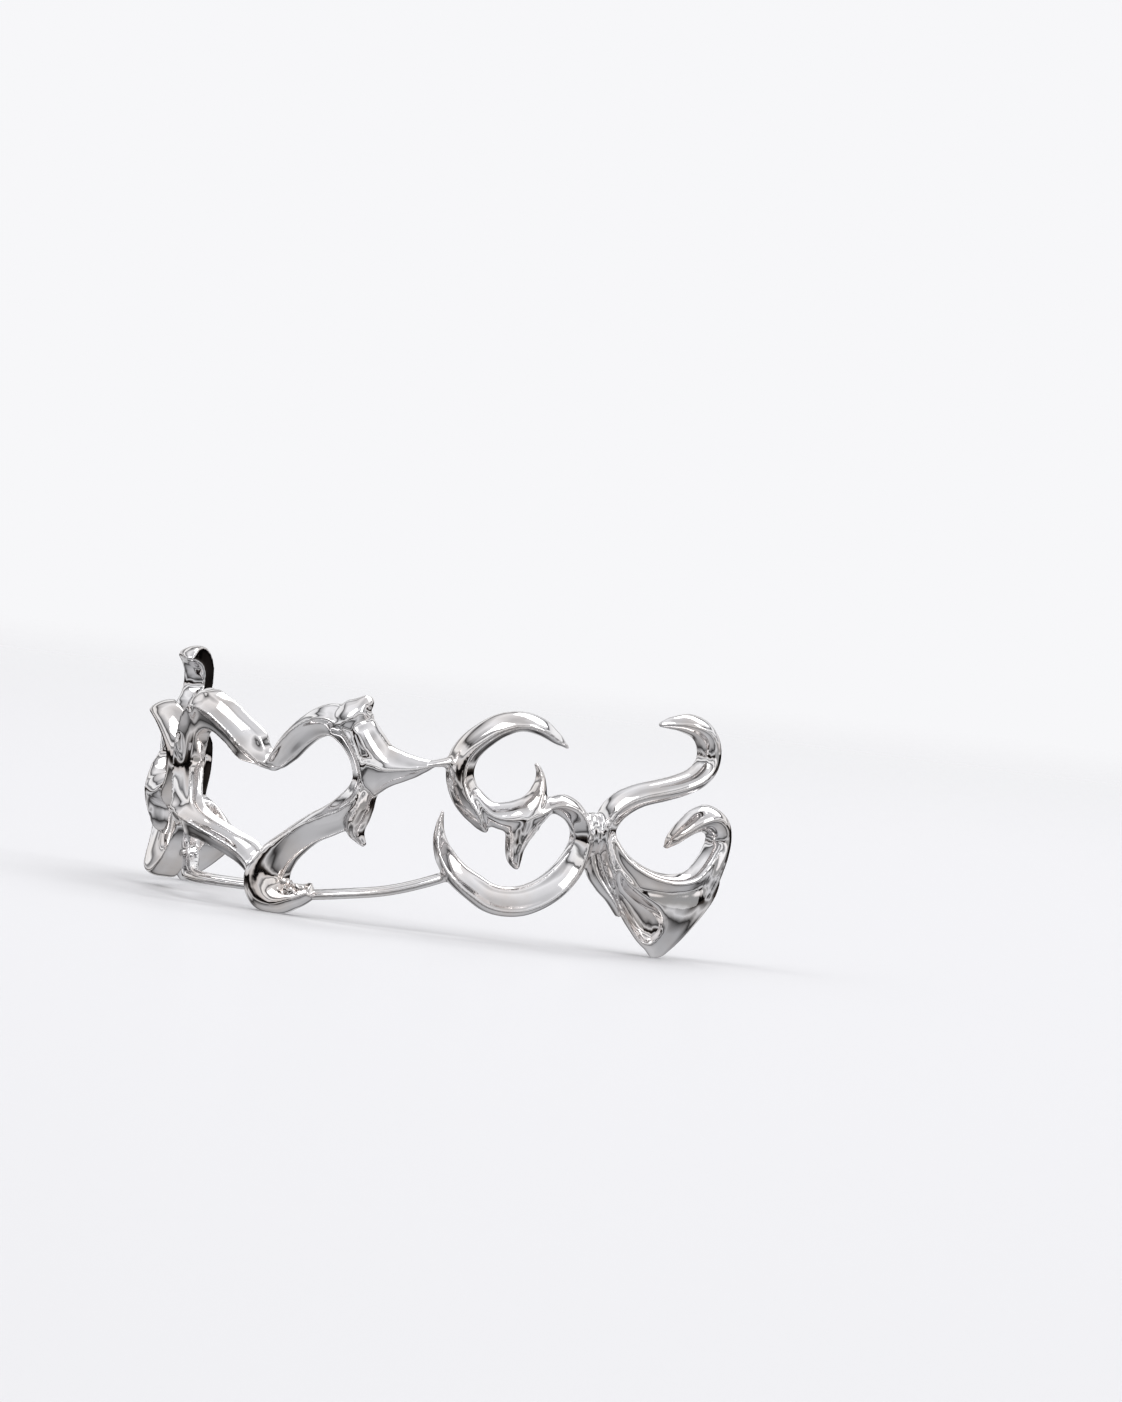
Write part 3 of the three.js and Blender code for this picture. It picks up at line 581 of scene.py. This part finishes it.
# bands that cross are seated a hair apart, so that no two backs share a face
pieces = [drawBand("heart", heartRight, seat=0, wall=0.5),
          drawBand("heartLeft", heartLeft, seat=0.06, wall=0.5)]
for k, (name, rows) in enumerate(spikes.items()):
    pieces.append(drawBand(name, rows, seat=heart["spikeSeat"] + heart["spikeStep"] * k, wall=0.4))
heartPiece = meltTogether("heart", pieces)
polish(heartPiece)
addGrains(heartPiece, [(across * heart["width"], up * teeth["crown"], out, size)
                       for across, up, out, size in heart["grains"]])
heartPiece = dropStrays(heartPiece)
standUp(heartPiece)
finishPiece(heartPiece, silver)
print("heart cast:", len(heartPiece.data.polygons), "faces")

# the scroll on each lateral tooth
scroll = {
    "middle": lateralMiddle,
    "width": teeth["lateral"],
    "band": 1.3,
    "rise": 1.3,
    "swells": (0.02, 0.02),
}
scroll["hook"] = [
    (0.315, 0.75, 0.10, 0.35, 0.0),
    (0.23, 0.80, 0.45, 0.65, 0.2),
    (0.115, 0.86, 0.65, 0.90, 0.3, 0.14, 0.0),
    (-0.01, 0.885, 0.72, 1.00, 0.3, 0.16, 0.0),
    (-0.135, 0.865, 0.85, 1.00, 0.3, 0.16, -0.02),
    (-0.245, 0.815, 0.92, 1.00, 0.3, 0.16, -0.02),
    (-0.335, 0.755, 1.00, 1.00, 0.3, 0.16, -0.02),
    (-0.385, 0.695, 1.08, 1.00, 0.3, 0.14, -0.02),
    (-0.40, 0.62, 1.08, 1.00, 0.25, 0.12, 0.0),
    (-0.365, 0.535, 1.10, 1.00, 0.15, 0.08, 0.0),
    (-0.305, 0.467, 1.00, 1.00, 0.1, 0.05, 0.0),
    (-0.262, 0.408, 0.62, 0.85, 0.0, 0.0, 0.0),
    (-0.228, 0.362, 0.20, 0.45, 0.0, 0.0, 0.0),
]
scroll["web"] = [
    (-0.31, 0.545, 0.55, 0.82, 0.0, 0.05, 0.05),
    (-0.21, 0.458, 0.84, 0.96, 0.0, 0.08, 0.08),
    (-0.10, 0.440, 1.08, 1.00, 0.0, 0.12, 0.12),
    (0.0, 0.447, 1.25, 1.04, 0.0, 0.14, 0.14),
    (0.08, 0.465, 1.05, 1.02, 0.0, 0.12, 0.12),
    (0.15, 0.485, 0.66, 0.94, 0.0, 0.10, 0.10),
]
scroll["thornUp"] = [
    (0.0, 0.43, 1.45, 1.00, 0.0, 0.12, 0.12),
    (0.06, 0.485, 1.10, 0.96, 0.0, 0.10, 0.10),
    (0.10, 0.555, 0.66, 0.84, 0.0, 0.08, 0.08),
    (0.115, 0.62, 0.38, 0.60, 0.0, 0.08, 0.08),
    (0.105, 0.66, 0.25, 0.45, 0.0),
    (0.082, 0.69, 0.14, 0.30, 0.0),
]
scroll["thornDown"] = [
    (0.0, 0.46, 1.60, 1.00, 0.0, 0.12, 0.12),
    (-0.02, 0.39, 1.22, 0.98, 0.0, 0.10, 0.10),
    (-0.04, 0.335, 0.84, 0.92, 0.0, 0.08, 0.08),
    (-0.056, 0.285, 0.66, 0.82, 0.0, 0.08, 0.08),
    (-0.056, 0.24, 0.54, 0.70, 0.0, 0.08, 0.08),
    (-0.04, 0.195, 0.20, 0.40, 0.0),
]
scroll["crescent"] = [
    (0.04, 0.455, 0.60, 0.85, 0.0, 0.08, 0.08),
    (0.12, 0.478, 0.60, 0.88, 0.1, 0.08, 0.08),
    (0.19, 0.49, 0.62, 0.94, 0.2, 0.05, 0.1),
    (0.265, 0.485, 0.82, 1.00, 0.3, 0.05, 0.1),
    (0.335, 0.452, 0.86, 1.00, 0.3, 0.0, 0.1),
    (0.38, 0.395, 0.82, 1.00, 0.3, -0.02, 0.1),
    (0.39, 0.34, 0.80, 1.00, 0.3, -0.02, 0.1),
    (0.37, 0.28, 0.85, 1.00, 0.3, -0.02, 0.1),
    (0.31, 0.20, 1.00, 1.00, 0.35, -0.08, 0.13),
    (0.215, 0.13, 1.05, 1.00, 0.4, -0.10, 0.14),
    (0.09, 0.075, 1.05, 1.00, 0.4, -0.10, 0.14),
    (-0.05, 0.045, 1.08, 1.00, 0.4, -0.10, 0.14),
    (-0.195, 0.055, 1.08, 1.00, 0.4, -0.10, 0.14),
    (-0.305, 0.105, 1.02, 1.00, 0.4, -0.10, 0.12),
    (-0.41, 0.165, 0.92, 0.95, 0.4, -0.05, 0.05),
    (-0.48, 0.235, 0.80, 0.85, 0.4, -0.05, 0.02),
    (-0.52, 0.31, 0.56, 0.70, 0.3, -0.04, 0.0),
    (-0.525, 0.385, 0.32, 0.50, 0.1),
    (-0.505, 0.455, 0.10, 0.30, 0.0),
]

# the hook, curl, lip and leaf on each canine
canine = {
    "middle": canineMiddle,
    "width": teeth["canine"],
    "band": 1.2,
    "rise": 1.3,
    "swells": (0.08, 0.08),
}
canine["hook"] = [
    (-0.085, 0.85, 0.20, 0.30, 0.0),
    (0.005, 0.857, 0.52, 0.66, -0.1, 0.06, 0.12),
    (0.12, 0.847, 0.82, 0.92, -0.15, 0.08, 0.16),
    (0.21, 0.813, 0.92, 1.00, -0.15, 0.10, 0.18),
    (0.262, 0.755, 0.94, 1.00, -0.15, 0.12, 0.18),
    (0.268, 0.69, 0.90, 1.00, -0.1, 0.14, 0.18),
    (0.235, 0.635, 0.88, 1.00, -0.05, 0.15, 0.18),
    (0.155, 0.59, 0.86, 1.00, 0.0, 0.16, 0.16),
    (0.04, 0.563, 0.86, 1.00, 0.0, 0.16, 0.15),
    (-0.09, 0.542, 0.88, 1.00, 0.0, 0.16, 0.13),
    (-0.225, 0.52, 0.90, 1.00, -0.1, 0.13, 0.10),
    (-0.325, 0.485, 0.95, 1.00, -0.2, 0.10, 0.06),
    (-0.40, 0.435, 0.95, 1.00, -0.35, 0.06, 0.02),
    (-0.445, 0.365, 0.84, 1.00, -0.45, 0.04, 0.0),
    (-0.43, 0.28, 0.88, 1.00, -0.55, 0.04, 0.0),
    (-0.385, 0.20, 1.15, 0.98, -0.6, 0.04, 0.0),
    (-0.32, 0.125, 1.45, 0.94, -0.5, 0.04, 0.0),
    (-0.25, 0.045, 1.50, 0.62, -0.2, 0.06, 0.06),
]
canine["curl"] = [
    (-0.06, 0.265, 0.12, 0.30, 0.0),
    (-0.01, 0.31, 0.52, 0.70, 0.0),
    (0.07, 0.355, 0.72, 0.90, 0.1),
    (0.165, 0.388, 0.95, 1.00, 0.1, 0.12, 0.12),
    (0.255, 0.388, 1.12, 1.05, 0.2, 0.12, 0.12),
    (0.32, 0.355, 1.12, 1.05, 0.2, 0.12, 0.12),
    (0.342, 0.30, 0.98, 1.00, 0.2, 0.12, 0.12),
    (0.32, 0.22, 0.98, 1.00, 0.1, 0.12, 0.12),
    (0.275, 0.14, 1.10, 0.92, 0.0, 0.12, 0.12),
    (0.22, 0.05, 1.05, 0.70, 0.0, 0.12, 0.12),
    (0.15, -0.03, 0.80, 0.40, 0.0, 0.10, 0.10),
]
# the lip that rounds the fang's opening
canine["rim"] = [
    (-0.435, 0.33, 0.60, 0.90, 0.4),
    (-0.375, 0.225, 0.90, 0.94, 0.5),
    (-0.26, 0.145, 0.98, 0.92, 0.5),
    (-0.12, 0.098, 0.94, 0.88, 0.5),
    (0.02, 0.085, 0.92, 0.86, 0.5),
    (0.13, 0.10, 0.92, 0.88, 0.5),
    (0.235, 0.155, 0.98, 0.92, 0.5),
    (0.305, 0.225, 0.90, 0.94, 0.5),
    (0.34, 0.30, 0.60, 0.90, 0.4),
]
# the thin web between the scroll's far side and the fang's near edge
canine["leaf"] = [
    (-0.545, 0.315, 0.45, 0.55, 0.0),
    (-0.545, 0.24, 0.55, 0.60, 0.0),
    (-0.525, 0.165, 0.62, 0.60, 0.0),
    (-0.475, 0.095, 0.52, 0.62, 0.0),
    (-0.42, 0.03, 0.32, 0.64, 0.0),
    (-0.365, -0.05, 0.18, 0.50, 0.0),
]

# rings of the fang and of the cutter that hollows its cup, from the rim down: height at the face in
# mm, slant of the ring, across and wide as shares of the tooth, front and back in mm out from the
# tooth's face. The scoop's rows give across, up and wide as shares, and its floor and rim in mm out.
fang = {
    "sides": 64,
    "ringCount": 70,
    "cupCount": 30,
    "scoopSides": 32,
    "scoopCount": 30,
    "faceCorner": 0.7,    # below 1 the ring's face is boxy, at 1 it is half an ellipse
    "backCorner": 0.95,
    "brow": 0.2,          # the face's share of the ring's depth
    "backNarrowing": 0.5,
    "rings": [
        (1.30, 1.55, -0.015, 0.74, 0.45, -2.72),
        (1.05, 1.50, -0.012, 0.78, 0.75, -2.80),
        (0.55, 1.20, -0.018, 0.735, 0.86, -2.80),
        (0.00, 0.85, -0.031, 0.660, 0.87, -2.72),
        (-0.55, 0.50, -0.055, 0.560, 0.80, -2.55),
        (-1.15, 0.26, -0.073, 0.430, 0.62, -2.18),
        (-1.75, 0.09, -0.088, 0.295, 0.38, -1.66),
        (-2.25, 0.00, -0.094, 0.160, 0.12, -1.10),
        (-2.52, 0.00, -0.101, 0.095, -0.06, -0.74),
        (-2.62, 0.00, -0.105, 0.055, -0.19, -0.57),
        (-2.65, 0.00, -0.107, 0.020, -0.33, -0.44),
    ],
    "cup": [
        (1.70, 1.55, -0.015, 0.59, -0.20, -2.25),
        (0.55, 1.20, -0.018, 0.57, -0.25, -2.25),
        (-0.30, 0.70, -0.045, 0.43, -0.32, -2.12),
        (-1.05, 0.30, -0.072, 0.26, -0.52, -1.70),
    ],
    "notch": {"across": (-0.55, -0.12), "bottom": (-1.85, -0.45), "top": 2.2, "front": 0.3, "back": -2.6},
    "scoop": [
        (-0.405, 0.172, 0.03, 0.90, 1.10),
        (-0.372, 0.105, 0.09, 0.55, 1.10),
        (-0.312, 0.045, 0.17, 0.16, 1.08),
        (-0.245, -0.02, 0.225, -0.05, 1.02),
        (-0.205, -0.085, 0.21, -0.16, 0.85),
        (-0.188, -0.14, 0.145, -0.14, 0.66),
        (-0.183, -0.182, 0.05, 0.02, 0.45),
    ],
}


def fangRings(rings, side):
    drawn = []
    for height, slant, across, wide, front, back in rings:
        waist = front - fang["brow"] * (front - back)
        ring = []
        for k in range(fang["sides"]):
            angle = 2 * math.pi * k / fang["sides"]
            corner = fang["faceCorner"] if math.sin(angle) > 0 else fang["backCorner"]
            x, y = (math.copysign(abs(v)**corner, v) for v in (math.cos(angle), math.sin(angle)))
            out = waist + y * (front - waist if y > 0 else waist - back)
            aside = wide / 2 * x * (1 + fang["backNarrowing"] * min(0, y))
            along = canineMiddle + (across + aside) * canine["width"]
            ring.append(toothPoint(side * along, height - slant * (front - out) / (front - back), out))
        drawn.append(ring)
    return drawn


def smoothRings(rings, count):
    rows = np.array(rings)
    slopes = np.gradient(rows, axis=0)
    smooth = []
    for place in np.linspace(0, len(rows) - 1, count):
        k = min(int(place), len(rows) - 2)
        smooth.append(blend(place - k, rows[k], rows[k + 1], slopes[k], slopes[k + 1]))
    return smooth


def drawFang(side):
    body = drawRings("fang", fangRings(smoothRings(fang["rings"], fang["ringCount"]), side))
    cupRings = fangRings(smoothRings(fang["cup"], fang["cupCount"]), side)
    cup, bandCup = drawRings("cup", cupRings), drawRings("cup", cupRings)
    notch = fang["notch"]
    cutter = drawRings("notch", [
        [toothPoint(side * (canineMiddle + across * canine["width"]), up, out)
         for up, out in (notch["bottom"], (notch["top"], notch["back"]), (notch["top"], notch["front"]))]
        for across in notch["across"]])
    joinSolid(body, cup, "DIFFERENCE")
    joinSolid(body, cutter, "DIFFERENCE")
    scoopRings = []
    for across, up, wide, floorOut, rimOut in smoothRings(fang["scoop"], fang["scoopCount"]):
        ring = []
        for k in range(fang["scoopSides"]):
            angle = 2 * math.pi * k / fang["scoopSides"]
            along = canineMiddle + (across + wide / 2 * math.cos(angle)) * canine["width"]
            deep = rimOut - floorOut if math.sin(angle) < 0 else canine["rise"]
            ring.append(toothPoint(side * along, up * teeth["crown"], rimOut + deep * math.sin(angle)))
        scoopRings.append(ring)
    return body, bandCup, drawRings("scoop", scoopRings)


# a rail starts from a row of the heart's right half and runs into a row of the crescent
rail = {
    "high": 0.45,
    "deep": 0.9,
    "sag": 0.5,
    "startRow": {1: 19, -1: 17},
    "endRow": 14,
    "shares": (0, 0.3, 0.6, 0.85, 1),
    "swell": 0.1,
}
# solder: a seam where the scroll's side runs along the hook, as rows on the canine, a flare from the
# prong's tip to the scroll as shares of the way with widths, and grains that the torch left rough
solder = {
    "seam": [
        (-0.525, 0.445, 0.30, 0.60, 0.0),
        (-0.528, 0.41, 0.48, 0.80, 0.0),
        (-0.53, 0.36, 0.48, 0.85, 0.0),
        (-0.533, 0.31, 0.45, 0.80, 0.0),
        (-0.54, 0.27, 0.35, 0.60, 0.0),
    ],
    "flare": [(-0.6, 0.30), (0.0, 0.36), (0.4, 0.45), (0.8, 0.62), (1.2, 0.80)],
    "rise": 0.62,
    "swell": 0.1,
    "seamGrains": [(-0.53, 0.425, 0.78, 0.7), (-0.515, 0.40, 0.85, 0.6), (-0.545, 0.385, 0.82, 0.65),
                   (-0.525, 0.365, 0.90, 0.7), (-0.54, 0.335, 0.85, 0.6), (-0.52, 0.32, 0.86, 0.55),
                   (-0.535, 0.295, 0.78, 0.5)],
}


def railRows(side, crescent):
    start, end = heartRight[rail["startRow"][side]], crescent[rail["endRow"]]
    rows = []
    for share in rail["shares"]:
        along, up = start[:2] * (1 - share) + end[:2] * share
        sag = rail["sag"] * math.sin(math.pi * share) * share
        rows.append([along, up - sag, rail["high"], rail["deep"], 0, rail["swell"], rail["swell"]])
    return np.array(rows)


def flareRows(start, end):
    rows = []
    for share, wide in solder["flare"]:
        along, up = start[:2] * (1 - share) + end[:2] * share
        rows.append([along, up, wide, solder["rise"], 0, solder["swell"], solder["swell"]])
    return np.array(rows)


def nearestRow(rows, target):
    return rows[np.argmin(np.hypot(*(rows[:, :2] - target[:2]).T))]


def asIs(rows):
    return rows


for side, sideName in ((1, "Right"), (-1, "Left")):
    onLateral, onCanine = (asIs, asIs) if side > 0 else (leftScroll, mirrored)
    hook, web, thornUp, thornDown, crescent = (
        onLateral(rowsOf(scroll[name], scroll))
        for name in ("hook", "web", "thornUp", "thornDown", "crescent"))
    canineHook, curl, rim, leaf = (
        onCanine(rowsOf(canine[name], canine)) for name in ("hook", "curl", "rim", "leaf"))
    seam = onCanine(rowsOf(solder["seam"], canine))
    prongTip = spikes["rightProng" if side > 0 else "leftProng"][-1]
    body, cup, scoop = drawFang(side)
    bands = meltTogether("bands", [
        drawBand("hook", canineHook, seat=0, wall=0.45),
        drawBand("curl", curl, seat=0.03, wall=0.45),
        drawBand("rim", rim, seat=-0.05, wall=0.5),
    ])
    joinSolid(bands, cup, "DIFFERENCE")
    joinSolid(bands, body)
    joinSolid(bands, scoop, "DIFFERENCE")
    joinSolid(bands, drawBand("leaf", leaf, seat=0.1, wall=0.6))
    whole = meltTogether("scroll" + sideName, [
        drawBand("scroll" + sideName, hook, seat=0, wall=0.4),
        drawBand("web", web, seat=0.02, wall=0.4),
        drawBand("thornUp", thornUp, seat=0.08, wall=0.35),
        drawBand("thornDown", thornDown, seat=0.12, wall=0.35),
        drawBand("crescent", crescent, seat=0.04, wall=0.4),
        drawBand("seam", seam, seat=0.1, wall=0.7),
        drawBand("flare", flareRows(prongTip, nearestRow(hook, prongTip)), seat=0.25, wall=0.6),
        drawBand("rail", railRows(side, crescent), seat=-rail["deep"] / 2, wall=0.8),
        bands,
    ])
    polish(whole)
    addGrains(whole, [(side * (canineMiddle + across * canine["width"]), up * teeth["crown"], out, size)
                      for across, up, out, size in solder["seamGrains"]])
    whole = dropStrays(whole)
    standUp(whole)
    finishPiece(whole, silver)
    print(whole.name, "cast:", len(whole.data.polygons), "faces")


# the pale sheet that it stands on: white acrylic, a soft diffuse white with a faint blurred
# reflection, which fades into the white room
sheet = {"colour": "#F3F3F5", "shine": 0.14, "blur": 0.3, "radius": 1.2, "fade": (0.08, 0.6)}


def whiteAcrylic():
    material = bpy.data.materials.new("whiteAcrylicSheet")
    material.use_nodes = True
    tree = material.node_tree
    tree.nodes.remove(tree.nodes["Principled BSDF"])
    dull = addNode(tree, "ShaderNodeBsdfDiffuse", {"Color": hexColour(sheet["colour"])})
    shiny = addNode(tree, "ShaderNodeBsdfGlossy",
                    {"Color": hexColour(sheet["colour"]), "Roughness": sheet["blur"]})
    face = addNode(tree, "ShaderNodeMixShader", {0: sheet["shine"]},
                   {1: dull.outputs[0], 2: shiny.outputs[0]})
    place = addNode(tree, "ShaderNodeTexCoord").outputs["Object"]
    far = addNode(tree, "ShaderNodeVectorMath", {"operation": "LENGTH"}, {0: place})
    lo, hi = sheet["fade"]
    fade = addNode(tree, "ShaderNodeMapRange",
                   {"interpolation_type": "SMOOTHSTEP", "From Min": lo, "From Max": hi},
                   {"Value": far.outputs["Value"]})
    clear = addNode(tree, "ShaderNodeBsdfTransparent")
    mix = addNode(tree, "ShaderNodeMixShader", {},
                  {0: fade.outputs["Result"], 1: face.outputs[0], 2: clear.outputs[0]})
    tree.links.new(mix.outputs[0], tree.nodes["Material Output"].inputs["Surface"])
    return material


bpy.ops.object.select_all(action="DESELECT")
bpy.ops.mesh.primitive_circle_add(vertices=128, radius=sheet["radius"], fill_type="NGON")
floor = bpy.context.object
floor.name = "floor"
floor.data.materials.append(whiteAcrylic())
floor.visible_glossy = False  # the silver sees the room below the sheet instead, which is darker

# the room: white behind the piece, and for the silver a round of lamps, greys and dark gaps, given
# by height from straight down (-1) to straight up (1)
studio = {
    "backdrop": "#F7F7F9",
    "waviness": 0.38,  # how far the bands of grey rise and sink round the room
    "waves": 2.2,
    "heights": [
        (-1.0, "#C4C4C6"), (-0.66, "#A8A8AA"), (-0.46, "#2C2B2B"), (-0.28, "#D8D8DA"),
        (-0.14, "#3A3532"), (-0.05, "#060505"), (0.02, "#0E0C0C"), (0.06, "#CEC9C7"),
        (0.18, "#E2E2E4"), (0.28, "#6A6A6C"), (0.34, "#FFFFFF"), (0.48, "#E8E8EA"),
        (0.54, "#121111"), (0.59, "#B0B0B2"), (0.72, "#F8F8FA"), (1.0, "#CACACC"),
    ],
    # azimuth and elevation in degrees, distance, width and height in metres, and power in watts
    "lamps": {
        "key": (-25, 52, 0.5, 0.30, 0.22, 0.56),
        "fill": (95, 35, 0.5, 0.16, 0.34, 0.30),
        "back": (190, 50, 0.5, 0.40, 0.20, 0.56),
        "side": (86, 0, 0.5, 0.75, 0.18, 0.14),
    },
}
room = bpy.data.worlds.new("studio")
bpy.context.scene.world = room
room.use_nodes = True
tree = room.node_tree
heading = addNode(tree, "ShaderNodeTexCoord").outputs["Generated"]
height = addNode(tree, "ShaderNodeSeparateXYZ", {}, {"Vector": heading}).outputs["Z"]
gaps = addNode(tree, "ShaderNodeTexNoise", {"Scale": studio["waves"], "Detail": 1.0, "Roughness": 0.4},
               {"Vector": heading})
shift = addNode(tree, "ShaderNodeMath",
                {"operation": "MULTIPLY_ADD", 1: studio["waviness"], 2: -studio["waviness"] / 2},
                {0: gaps.outputs["Fac"]})
level = addNode(tree, "ShaderNodeMath", {"operation": "ADD"}, {0: height, 1: shift.outputs["Value"]})
share = addNode(tree, "ShaderNodeMapRange", {"From Min": -1.0, "From Max": 1.0},
                {"Value": level.outputs["Value"]})
heights = addNode(tree, "ShaderNodeValToRGB", {}, {"Fac": share.outputs["Result"]})
ramp(heights, [((z + 1) / 2, hexColour(code)) for z, code in studio["heights"]])
seen = addNode(tree, "ShaderNodeLightPath").outputs["Is Camera Ray"]
mixed = addNode(tree, "ShaderNodeMix", {"data_type": "RGBA", 7: hexColour(studio["backdrop"])},
                {0: seen, 6: heights.outputs["Color"]})
tree.links.new(mixed.outputs[2], tree.nodes["Background"].inputs["Color"])

for name, (azimuth, elevation, distance, width, height, power) in studio["lamps"].items():
    a, e = math.radians(azimuth), math.radians(elevation)
    away = Vector((math.sin(a) * math.cos(e), -math.cos(a) * math.cos(e), math.sin(e)))
    bpy.ops.object.light_add(type="AREA", location=away * distance)
    lamp = bpy.context.object
    lamp.name = name
    lamp.rotation_euler = away.to_track_quat("Z", "Y").to_euler()
    lamp.data.shape = "RECTANGLE"
    lamp.data.size, lamp.data.size_y = width, height
    lamp.data.energy = power
    lamp.visible_camera = False
bpy.context.scene.view_settings.view_transform = "Standard"
print("studio set")
